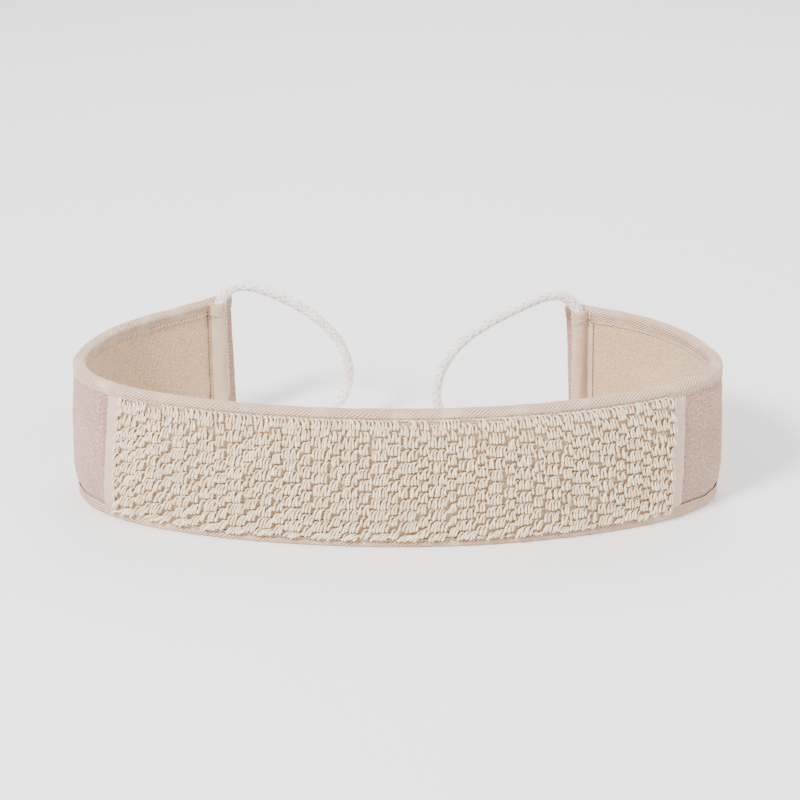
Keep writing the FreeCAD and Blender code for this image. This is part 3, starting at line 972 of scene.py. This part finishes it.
def pad_tape(side):
    """The slanted tape over one end of the loop pad, with its two rows of stitches."""
    left = side == "left"
    start = PAD_LEFT if left else PAD_RIGHT - PAD_TAPE
    z = np.linspace(5.0, HEIGHT - 4.8, 64)[:, None]
    t = np.linspace(0, 1, TAPE_STEPS + 1)[None]
    s = start + PAD_TAPE * t + 0.25 * waves(90, 18, z)
    s = s + pad_lean(s, z)
    inwards = t if left else 1 - t
    over_loops = 0.75 * ease(inwards, 0.55, 0.95)
    under = leg_at(s, z > HEIGHT / 2, False)
    tuck = 1 - ease(np.minimum(z, HEIGHT - z), under - 0.6, under + 1.6)
    rim = 0.35 * (ease(t, 0, 0.06) * (1 - ease(t, 0.94, 1)) - 1)
    rows = -0.3 * sum(np.exp(-((inwards - row / TAPE_STEPS) / 0.05) ** 2) for row in TAPE_ROWS)
    out = 1.15 + over_loops + rim + rows + 0.12 * waves(92, 6, s, z)
    d = -out * (1 - tuck) + 0.35 * tuck
    points = np.concatenate([wall(s, d, z), wall(s, d + 0.45, z)[:, ::-1]], 1)
    wide = (t * PAD_TAPE)[0]
    u = np.concatenate([wide, wide[::-1], wide[:1]])[None]
    piece = grid_piece("pad_tape_cloth_" + side, points, u, z, PLAIN_TAPE, closed=True)
    hand_in(piece, "strap_centre", "pad_tape_" + side)
    made = []
    for row in TAPE_ROWS:
        column = row if left else TAPE_STEPS - row
        at_z = np.arange(LEG + 1, HEIGHT - LEG, 2.9)
        at_s, at_d = (np.interp(at_z, z[:, 0], k[:, column]) for k in (s, d))
        made.append(stitches("part", at_s, at_d, at_z, (0, 1), 2.3, 0.2, 0.25))
    thread = join("pad_tape_stitches_" + side, *made)
    hand_in(thread, "strap_centre", "pad_tape_seam_" + side)


for side in SIDES:
    pad_tape(side)


# -------- rope tunnels

def tunnel_profile(outer, flange_depth, long_flange):
    """A tape over the rope as (along, depth) from one edge to the other, with its running length."""
    bend = np.linspace(0, pi, 21)
    rise = np.linspace(flange_depth + 0.35, TUNNEL_DEPTH, 7)[1:-1]
    reach = np.linspace(outer + 0.75, long_flange, 9)[::-1]
    side_s = np.concatenate([-reach, [-outer - 0.4, -outer - 0.12], np.full(5, -outer)])
    side_d = np.concatenate([np.full(9, flange_depth), [flange_depth + 0.06, flange_depth + 0.22], rise])
    short = np.clip(side_s, -TUNNEL_WIDE / 2, None)
    s = np.concatenate([side_s, -outer * np.cos(bend), -short[::-1]])
    d = np.concatenate([side_d, TUNNEL_DEPTH + outer * np.sin(bend), side_d[::-1]])
    run = np.concatenate([[0], np.cumsum(np.hypot(np.diff(s), np.diff(d)))])
    return s, d, run


def tunnel_shape(side, cap):
    """Arc lengths, depths and heights of a tunnel's tape, or of the cap over its top."""
    left, layer = side == "left", 2 if cap else 1
    s, d, run = tunnel_profile(TUNNEL_INNER + 0.1 + layer * TAPE, THICK + layer * TAPE,
                               TUNNEL_WIDE / 2 + (0.6 if cap else 2.2))
    away, dome = SIGN[side] * s, ease(d, THICK + 1.8, THICK + 4.0)[None]
    if cap:
        rows, seed, strength, narrow, sag = 18, 100, 0.35, 0.0, 1.0
        low = TUNNEL_CAP - 0.8 + (0.6 * ease(away, 0, 7) if left else 4.5 * ease(away, 3, -6) - 1.5)
        high = np.full(s.shape, HEIGHT - 0.6)
    else:
        rows, seed, strength, narrow, sag = 130, 104, 1.0, 0.04, 0.4
        low = np.full(s.shape, TUNNEL_BOTTOM)
        high = HEIGHT - 2 - (0 if left else 8.5) * ease(away, -3.4, -TUNNEL_WIDE / 2 - 1)
    seed, strength = (seed, strength * 0.75) if left else (seed + 1, strength * 1.5)
    z = low + (high - low) * np.linspace(0, 1, rows)[:, None]
    crumple = strength * dome * (0.4 * waves(seed, 13, z * 0.5, s[None] * 2)
                                 + 0.2 * waves(seed + 7, 4.5, z * 0.6, s[None]))
    squeeze = 1 + dome * (0.05 * waves(seed + 3, 17, z) - narrow)
    fall = 1 - np.sqrt(np.clip(1 - ease(z, HEIGHT - 3.4, HEIGHT - 0.4) ** 2, 0, 1))
    crown = np.where(dome > 0.5, 1.6, 2.6) * fall * sag
    stitched = 0.3 * np.exp(-((z - low - 1.3) / 0.6) ** 2) if cap else 0.0
    return TUNNEL_AT[side] + s[None] * squeeze, d[None] + crumple - crown - stitched, z, run, s, dome


def tunnel(side, cap):
    """A tunnel's ribbed tape, crumpled over the rope, or its cap."""
    s, d, z, run, flat_s, dome = tunnel_shape(side, cap)
    away, run = np.abs(flat_s)[None], run[None] + 0 * z
    seam_groove = 0.0 if cap else 0.25 * np.exp(-((away - FLANGE_SEAM) / 0.45) ** 2)
    u, v = (run, z) if cap else (z, run)
    out = RIB_HIGH * rib(u, v) - seam_groove
    centre = TUNNEL_AT[side]
    s_out, d_out = s + (s - centre) * dome * out / 5, d + out
    s_in = centre + (s - centre) * (1 - dome * TAPE / 5)
    d_in = d - TAPE * np.where(away > 4.6, 0.9, np.clip((d - THICK - 1.2) / 4.0, 0.0, 0.85))
    back = slice(None, None, -2)
    points = np.concatenate([wall(s_out, d_out, z), wall(s_in, d_in, z)[:, back]], 1)
    u, v = (np.concatenate([k, k[:, back], k[:, :1]], 1) for k in (u, v))
    name = ("tunnel_cap_tape_" if cap else "rope_tunnel_tape_") + side
    piece = grid_piece(name, points, u, v, TUNNEL_TAPE, closed=True, flip=True)
    hand_in(piece, side + "_wing", ("tunnel_cap_" if cap else "rope_tunnel_") + side)


def tunnel_stitches(side):
    """Stitches down both flanges, and across the cap's lower edge."""
    z = np.arange(TUNNEL_BOTTOM + 2, TUNNEL_CAP - 2, 2.7)
    depth = np.full(z.shape, THICK + TAPE)
    made = [stitches("part", np.full(z.shape, TUNNEL_AT[side] + shift), depth, z, (0, 1), 2.1, 0.22, -0.3)
            for shift in (-FLANGE_SEAM, FLANGE_SEAM)]
    s, d, z, run = tunnel_shape(side, True)[:4]
    at = np.arange(1.0, run[-1] - 1, 1.9)[:, None] + np.linspace(-0.65, 0.65, 7)
    at_s, at_d, at_z = (np.interp(at, run, k[1]) for k in (s, d, z))
    dip = 0.35 * np.linspace(-1, 1, 7) ** 4
    made.append(tubes("part", wall(at_s, at_d + 0.28 - dip, at_z + 0.9), 0.24, 6, THREAD))
    hand_in(join("tunnel_stitches_" + side, *made), side + "_wing", "tunnel_seam_" + side)


def whipping(side):
    """Thread wound round the rope where its two ends meet."""
    turns, start, height = 24, 44, 12
    t = np.linspace(0, 1, turns * 16)
    angle = 2 * pi * turns * t
    around = ROPE / 2 * np.stack([np.cos(angle), np.sin(angle), 0 * t], -1)
    piece = tubes("whipping_" + side, [tunnel_line(side, start + height * t) + around], 0.25, 6, THREAD)
    hand_in(piece, side + "_loop", "rope_whipping_" + side)


for side in SIDES:
    tunnel(side, False)
    tunnel(side, True)
    tunnel_stitches(side)
    whipping(side)


# -------- floor and light

FLOOR_SIZE = 6.0
LIGHT_AIM = Vector((0, 0, 0.04))
# Each lamp's place in metres, its diameter and its power in watts.
LAMPS = {
    "key": ((-1.4, -1.4, 1.8), 0.7, 155),
    "fill": ((1.7, -0.8, 1.2), 1.4, 36),
    "back": ((0.2, 1.2, 1.5), 1.2, 30)}


def make_floor():
    """A plain pale floor."""
    mesh = bpy.data.meshes.new("floor")
    corners = [(x * FLOOR_SIZE, y * FLOOR_SIZE, 0) for x, y in ((-1, -1), (1, -1), (1, 1), (-1, 1))]
    mesh.from_pydata(corners, [], [(0, 1, 2, 3)])
    n = Nodes("floor")
    tone = n.noise(n.place(), 0.3, 2.0)
    mesh.materials.append(n.finish(n.mix(tone, (0.90, 0.90, 0.90), (0.92, 0.92, 0.92)), 0.9))
    floor = add_object("floor", mesh)


def make_lights():
    """Soft lamps and a pale sky."""
    for name, (place, size, power) in LAMPS.items():
        data = bpy.data.lights.new(name, "AREA")
        data.shape, data.size, data.energy = "DISK", size, power
        aim(add_object(name, data), place, LIGHT_AIM)
    world = bpy.data.worlds.new("studio")
    world.use_nodes = True
    sky = world.node_tree.nodes["Background"].inputs
    sky[0].default_value, sky[1].default_value = (1.0, 0.99, 0.98, 1.0), 0.9
    bpy.context.scene.world = world


make_floor()
make_lights()
